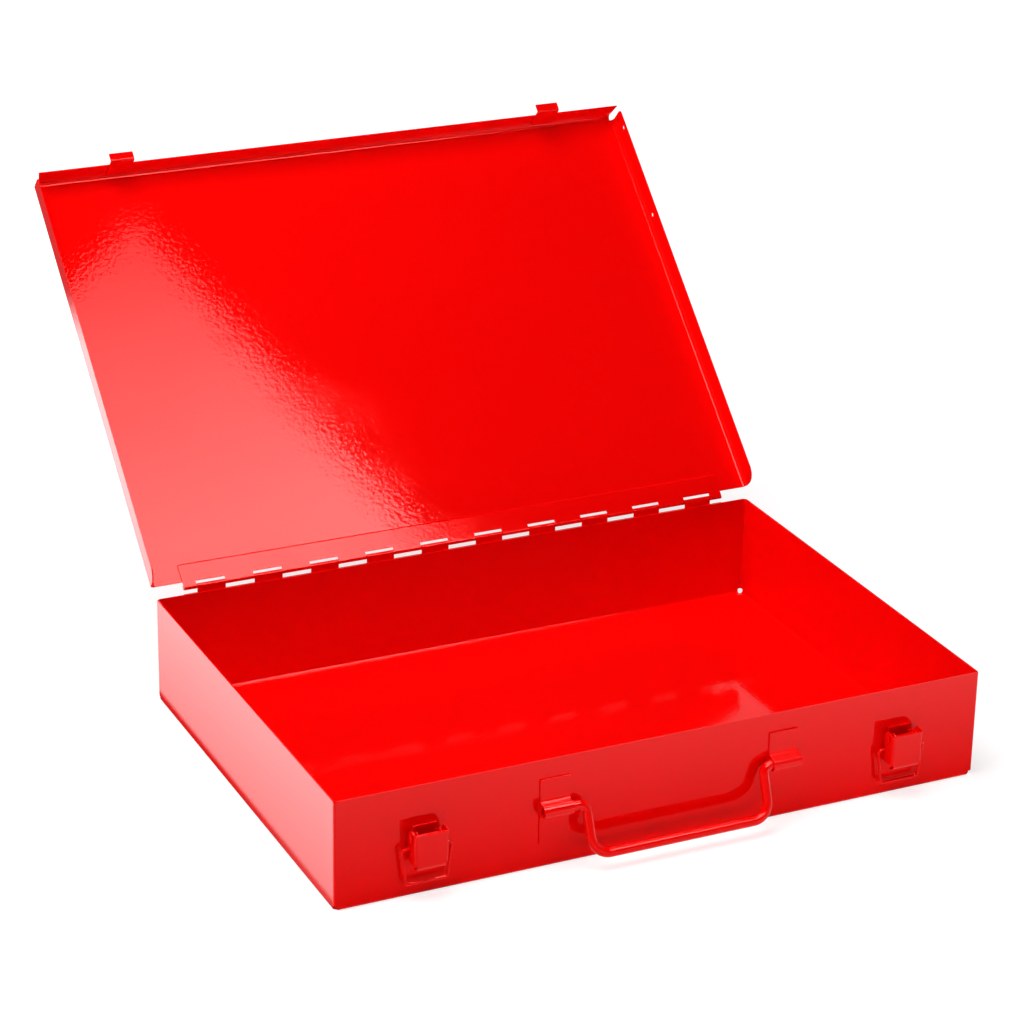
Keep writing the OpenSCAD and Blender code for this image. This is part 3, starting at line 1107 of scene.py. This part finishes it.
@dataclass(frozen=True)
class Floor:
    """The pale floor.

    The camera sees it near white, and it lights the case as a matt floor. Reflections see a
    glare that grows with the distance from the case and has its own strength on the left; near
    the case it is dimmed as painted shade, darkest in front, where it stands in for the case's
    shadow.

    Attributes:
        size: Its width and depth.
        middle: Its middle, just under the case.
        albedo: How much light it throws back.
        seen_albedo: The same where the camera looks at it.
        lift: The light that whitens it for the camera, by the distance from the case's middle.
        foot_side: The case's left side. The right side is its mirror image.
        foot_front: The case's front. The back is its mirror image.
        front_gloss: The glare all round but on the left.
        front: How it grows away from the case, as painted shadow that darkens it in front.
        left_gloss: The glare on the left.
        left: How it grows away from the case, as painted shade that darkens it beside the case.
        left_begins: Where the left begins.
        behind: How the glare drops behind the front wall, by Y.
        far: How it drops far behind the case, by Y.
    """

    size: float = 14.0
    middle: Point = (0.0, 2.0, -0.05 * MM)
    albedo: float = 0.95
    seen_albedo: float = 0.40
    lift: Fade = Fade((0.3, 1.0), (0.75, 1.0), Blend.SMOOTH)
    foot_side: float = -0.223
    foot_front: float = -0.155
    front_gloss: float = 5.2
    front: Fade = Fade((0.0, 0.20), (0.06, 1.0))
    left_gloss: float = 3.4
    left: Fade = Fade((0.0, 0.1), (0.45, 1.0))
    left_begins: Fade = Fade((0.0, 0.004), (0.0, 1.0), Blend.SMOOTH)
    behind: Fade = Fade((foot_front, 0.05), (1.0, 0.2), Blend.SMOOTH)
    far: Fade = Fade((0.80, 0.96), (1.0, 0.05), Blend.SMOOTH)

    def lay(self) -> None:
        """Lays the floor."""
        shape = bmesh.new()
        bmesh.ops.create_grid(shape, x_segments=1, y_segments=1, size=self.size / 2)
        bmesh.ops.translate(shape, verts=shape.verts, vec=self.middle)
        floor = new_object("floor", mesh_of("floor", shape))
        floor.data.materials.append(self._material())

    def _material(self) -> bpy.types.Material:
        """Makes the floor's material.

        Returns:
            The material.
        """
        made, graph = new_material("pale_floor")
        camera = graph.ray(Ray.CAMERA)
        place = graph.value("ShaderNodeTexCoord", "Object")
        away = graph.value("ShaderNodeVectorMath", "Value", {"operation": "LENGTH"}, {0: place})
        matt = graph.node("ShaderNodeBsdfDiffuse", None, {
            "Color": self.albedo - camera * (self.albedo - self.seen_albedo),
        })
        lift = graph.node("ShaderNodeEmission", None, {"Strength": camera * away.fade(self.lift)})
        plain = graph.node("ShaderNodeAddShader", None, {0: matt.outputs[0], 1: lift.outputs[0]})
        white = graph.node("ShaderNodeEmission", None, {"Strength": self._glare(graph, place)})
        mix = graph.node("ShaderNodeMixShader", None, {
            0: graph.ray(Ray.GLOSSY), 1: plain.outputs[0], 2: white.outputs[0],
        })
        graph.node("ShaderNodeOutputMaterial", None, {"Surface": mix.outputs[0]})
        return made

    def _glare(self, graph: Graph, place: Value) -> Value:
        """The brightness that reflections see, with the case's shade painted in close to it.

        Args:
            graph: The material's graph.
            place: The coordinates.

        Returns:
            The brightness.
        """
        parts = graph.node("ShaderNodeSeparateXYZ", None, {0: place})
        x, y = (Value(graph, parts.outputs[axis]) for axis in "XY")
        aside = self.foot_side - x
        beyond = (x + self.foot_side).larger(y + self.foot_front)
        off = (self.foot_front - y).larger(beyond)
        # Painted shade: the glare is dimmed close to the case, most in front, standing in for the
        # case's shadow on the floor.
        front = off.fade(self.front) * self.front_gloss * y.fade(self.behind)
        left = aside.fade(self.left) * self.left_gloss
        is_left = aside.fade(self.left_begins)
        return (front * (1 - is_left) + left * is_left) * y.fade(self.far)


@dataclass(frozen=True)
class Air:
    """The studio's air: white to the camera, pale low down and dark above in reflections.

    Attributes:
        walls: The brightness that reflections see, by height.
        fill: The light it gives the case.
    """

    walls: Fade = Fade((0.30, 0.62), (1.1, 0.02), Blend.SMOOTH)
    fill: float = 0.04

    def fill_room(self) -> None:
        """Makes the world."""
        world = bpy.data.worlds.new("studio")
        bpy.context.scene.world = world
        world.use_nodes = True
        world.node_tree.nodes.clear()
        graph = Graph(world.node_tree)
        way = graph.value("ShaderNodeTexCoord", "Generated")
        height = graph.value("ShaderNodeSeparateXYZ", "Z", None, {0: way})
        camera, glossy = graph.ray(Ray.CAMERA), graph.ray(Ray.GLOSSY)
        strength = camera + glossy * height.fade(self.walls) + (1 - camera - glossy) * self.fill
        light = graph.node("ShaderNodeBackground", None, {"Color": WHITE, "Strength": strength})
        graph.node("ShaderNodeOutputWorld", None, {"Surface": light.outputs[0]})


@dataclass(frozen=True)
class LightCard:
    """A bright square above the case's front that only reflections see, dimmer towards the back.

    Attributes:
        corner: Where its rear corner hangs, as (x, y).
        height: How high it hangs.
        heading: The direction of one side, in degrees from +X.
        size: Its side.
        glow: Its brightness.
        fade: How much of that is left, by Y.
    """

    corner: Pair = (0.285, -0.0105)
    height: float = 1.6
    heading: float = -52.0
    size: float = 1.3
    glow: float = 44.5
    fade: Fade = Fade((-0.40, -0.05), (1.0, 0.26))

    def hang(self) -> None:
        """Hangs the card."""
        turn = math.radians(self.heading)
        along = Vector((math.cos(turn), math.sin(turn), 0))
        across = Vector((along.y, -along.x, 0))
        middle = Vector((*self.corner, self.height)) + (along + across) * self.size / 2
        half = self.size / 2
        shape = bmesh.new()
        shape.faces.new([
            shape.verts.new(middle + a * half * along + b * half * across)
            for a, b in ((1, 1), (1, -1), (-1, -1), (-1, 1))
        ])
        card = new_object("key_card", mesh_of("key_card", shape))
        material, graph = new_material("lamp_face")
        place = graph.value("ShaderNodeTexCoord", "Object")
        depth = graph.value("ShaderNodeSeparateXYZ", "Y", None, {0: place})
        strength = graph.ray(Ray.GLOSSY) * depth.fade(self.fade) * self.glow
        face = graph.node("ShaderNodeEmission", None, {"Strength": strength})
        graph.node("ShaderNodeOutputMaterial", None, {"Surface": face.outputs[0]})
        card.data.materials.append(material)
        card.visible_camera = card.visible_diffuse = False
        card.visible_shadow = card.visible_transmission = False


@dataclass(frozen=True)
class Lamp:
    """A soft rectangular lamp that neither the camera nor reflections see.

    Attributes:
        name: Its name.
        at: Its middle.
        towards: A point that it faces.
        size: Its width and height.
        power: Its power in watts.
    """

    name: str
    at: Point
    towards: Point
    size: Pair
    power: float

    def hang(self) -> None:
        """Hangs the lamp."""
        data = bpy.data.lights.new(self.name, "AREA")
        data.shape = "RECTANGLE"
        data.size, data.size_y = self.size
        data.energy = self.power
        lamp = new_object(self.name, data)
        at = Vector(self.at)
        turn = (Vector(self.towards) - at).to_track_quat("-Z", "Y").to_matrix().to_4x4()
        lamp.matrix_world = Matrix.Translation(at) @ turn
        lamp.visible_camera = lamp.visible_glossy = False


@dataclass(frozen=True)
class Studio:
    """Everything round the case.

    Attributes:
        camera: The camera.
        floor: The floor.
        air: The air.
        card: The bright face that reflections see.
        lamps: The lamps that light the case.
    """

    camera: Camera = Camera()
    floor: Floor = Floor()
    air: Air = Air()
    card: LightCard = LightCard()
    lamps: tuple[Lamp, ...] = (
        Lamp("key", (-0.55, 0.0, 1.6), (-0.55, 0.0, 0.6), (1.3, 1.3), 38.0),
        Lamp("front_fill", (0.35, -0.65, 0.04), (0.35, 0.0, 0.04), (0.9, 0.06), 1.2),
        Lamp("left_fill", (-2.0, 0.2, 1.1), (0.0, 0.0, 0.1), (1.2, 1.0), 14.0),
    )

    def build(self) -> None:
        """Sets the stage."""
        self.camera.place()
        self.floor.lay()
        self.air.fill_room()
        self.card.hang()
        for lamp in self.lamps:
            lamp.hang()
        bpy.context.scene.view_settings.view_transform = "Standard"


def main() -> None:
    """Builds the stage and every piece, in order."""
    logging.basicConfig(
        level=logging.INFO, format="%(name)s: %(message)s", stream=sys.stdout, force=True
    )
    Studio().build()
    finishes = Finishes()
    # The CAD nodes wear the case's coat too, wherever they are shown themselves.
    for node in frame["nodes"].values():
        node.data.materials.clear()
        node.data.materials.append(finishes.by_slot[Slot.CASE])
    rods, rows = RodTree(), RowTree()
    pieces = Case(finishes).build()
    pieces += PianoHinge(finishes, rows).build()
    for side in Side:
        pieces += DrawLatch(finishes, rods, side).build()
    pieces += DropHandle(finishes, rods).build()
    log.info("%d pieces", len(pieces))


if __name__ == "__main__":
    main()
